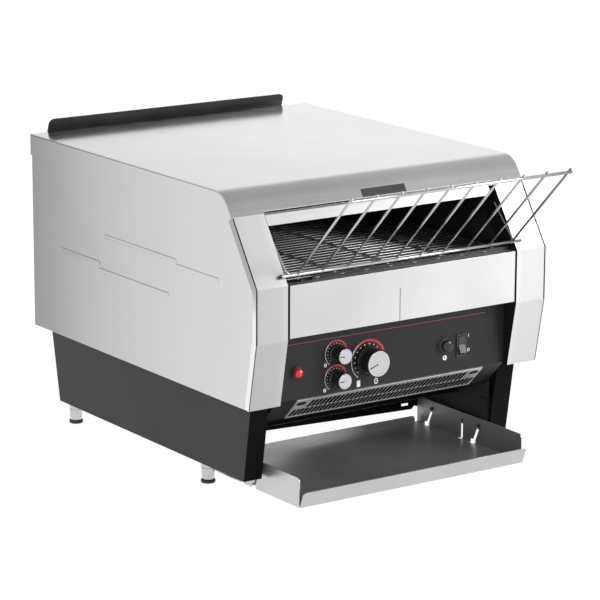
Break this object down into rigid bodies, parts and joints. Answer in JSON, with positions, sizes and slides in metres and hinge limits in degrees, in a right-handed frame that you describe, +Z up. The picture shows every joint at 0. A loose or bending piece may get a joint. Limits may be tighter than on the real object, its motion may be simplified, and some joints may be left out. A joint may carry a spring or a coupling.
{
  "type": "conveyor toaster",
  "caption": "Countertop conveyor toaster with a wire feed rack, a moving wire belt between heaters, knobs on a recessed panel and a pull-off tray under it.",
  "frame": {"origin": "centre of the overall outline, on the surface that the feet stand on", "axes": "+X to the right seen from the front, +Y from the front to the back, +Z up"},
  "size_m": [0.47, 0.7062, 0.4298],
  "materials": {
    "stainless_sheet": "fine horizontal brush, satin",
    "bright_steel": "fine brush, brighter",
    "rack_wire": "bright plated wire",
    "belt_wire": "drawn wire, slightly dulled by heat",
    "drive_steel": "machined, lightly oiled",
    "zinc_sheet": "plain zinc-coated sheet",
    "black_paint": "satin black powder coat",
    "panel_paint": "charcoal, fine satin",
    "black_plastic": "black, slight sheen",
    "switch_body": "dark grey moulding",
    "knob_face": "spun, with a bright rim",
    "lamp_red": "clear red, faceted",
    "screw_steel": "zinc plated",
    "foot_metal": "satin metal",
    "pad_rubber": "matt black",
    "heater_sheath": "oxidised alloy sheath",
    "ceramic": "off-white ceramic",
    "bearing_bronze": "sintered bronze",
    "motor_paint": "dark enamel",
    "blanket_wool": "ceramic wool"
  },
  "bodies": {
    "casing": {"top_cover": "stainless_sheet", "left_side_panel": "stainless_sheet", "right_side_panel": "stainless_sheet", "back_panel": "stainless_sheet", "rear_flange": "black_paint", "left_bezel": "bright_steel", "right_bezel": "bright_steel", "feed_lintel": "bright_steel", "cover_plate": "black_plastic", "front_panel": "bright_steel", "guard_strip": "panel_paint", "control_panel": "panel_paint", "vent_grille": "stainless_sheet", "casing_screws": "screw_steel", "control_box": "black_paint", "chassis_floor": "zinc_sheet", "left_base": "black_paint", "right_base": "black_paint", "slide_guards": "black_paint", "left_chamber_wall": "zinc_sheet", "right_chamber_wall": "zinc_sheet", "upper_reflector": "bright_steel", "insulation_blanket": "blanket_wool", "lower_reflector": "bright_steel", "upper_heaters": "heater_sheath", "lower_heaters": "heater_sheath", "heater_terminals": "ceramic", "belt_supports": "belt_wire", "belt_top_run": "belt_wire", "belt_return_run": "belt_wire", "belt_front_wrap": "belt_wire", "belt_rear_wrap": "belt_wire", "shaft_bearings": "bearing_bronze", "drive_motor": "motor_paint", "drive_chain": "drive_steel", "fan_housing": "black_plastic", "toast_slide": "stainless_sheet", "rear_guide": "stainless_sheet", "tray_hangers": "black_paint", "knob_controls": "switch_body", "lamp_lens": "lamp_red", "lamp_holder": "black_plastic", "reset_breaker": "switch_body", "rocker_housing": "black_plastic", "feet": "foot_metal", "foot_pads": "pad_rubber", "cord_gland": "black_plastic", "terminal_block": "ceramic"},
    "rack": {"feed_rack": "rack_wire"},
    "tray": {"toast_tray": "stainless_sheet"},
    "speed_control": {"speed_knob": "black_plastic", "speed_knob_cap": "knob_face"},
    "top_heat_control": {"top_heat_knob": "black_plastic", "top_heat_knob_cap": "knob_face"},
    "bottom_heat_control": {"bottom_heat_knob": "black_plastic", "bottom_heat_knob_cap": "knob_face"},
    "power_rocker": {"rocker": "black_plastic"},
    "reset": {"reset_button": "black_plastic"},
    "rear_drive": {"rear_shaft": "drive_steel", "chain_sprocket": "drive_steel"},
    "front_drive": {"front_shaft": "drive_steel"},
    "motor_shaft": {"motor_sprocket": "drive_steel"},
    "fan": {"fan_rotor": "black_plastic"}
  },
  "joints": [
    {"name": "rack_hinge", "type": "hinge", "parent": "casing", "child": "rack", "pos_m": [0, -0.18839, 0.3565], "axis": [-1, 0, 0], "range_deg": [0, 75]},
    {"name": "tray_lift", "type": "slide", "parent": "casing", "child": "tray", "axis": [0, -0.4147, 0.91], "range_m": [0, 0.026]},
    {"name": "speed_knob_turn", "type": "hinge", "parent": "casing", "child": "speed_control", "pos_m": [-0.041, -0.21189, 0.1745], "axis": [0, 1, 0], "range_deg": [-40, 260]},
    {"name": "top_heat_knob_turn", "type": "hinge", "parent": "casing", "child": "top_heat_control", "pos_m": [-0.0926, -0.21189, 0.1911], "axis": [0, 1, 0], "range_deg": [-62, 238]},
    {"name": "bottom_heat_knob_turn", "type": "hinge", "parent": "casing", "child": "bottom_heat_control", "pos_m": [-0.093, -0.21189, 0.1577], "axis": [0, 1, 0], "range_deg": [-62, 238]},
    {"name": "rocker_tilt", "type": "hinge", "parent": "casing", "child": "power_rocker", "pos_m": [0.1126, -0.20989, 0.173], "axis": [1, 0, 0], "range_deg": [0, 20]},
    {"name": "reset_press", "type": "slide", "parent": "casing", "child": "reset", "axis": [0, 1, 0], "range_m": [0, 0.003], "stiffness_N_per_m": 800},
    {"name": "rear_shaft_turn", "type": "hinge", "parent": "casing", "child": "rear_drive", "pos_m": [0, 0.26231, 0.27247], "axis": [-1, 0, 0], "continuous": true},
    {"name": "front_shaft_turn", "type": "hinge", "parent": "casing", "child": "front_drive", "pos_m": [0, -0.19489, 0.27247], "axis": [-1, 0, 0], "continuous": true},
    {"name": "motor_shaft_turn", "type": "hinge", "parent": "casing", "child": "motor_shaft", "pos_m": [0.19, 0.24431, 0.167], "axis": [-1, 0, 0], "continuous": true},
    {"name": "fan_turn", "type": "hinge", "parent": "casing", "child": "fan", "pos_m": [-0.145, 0.32111, 0.18], "axis": [0, 1, 0], "continuous": true}
  ],
  "couplings": [
    {"joint": "front_shaft_turn", "follows": "rear_shaft_turn", "ratio": 1},
    {"joint": "motor_shaft_turn", "follows": "rear_shaft_turn", "ratio": 1.3333}
  ]
}
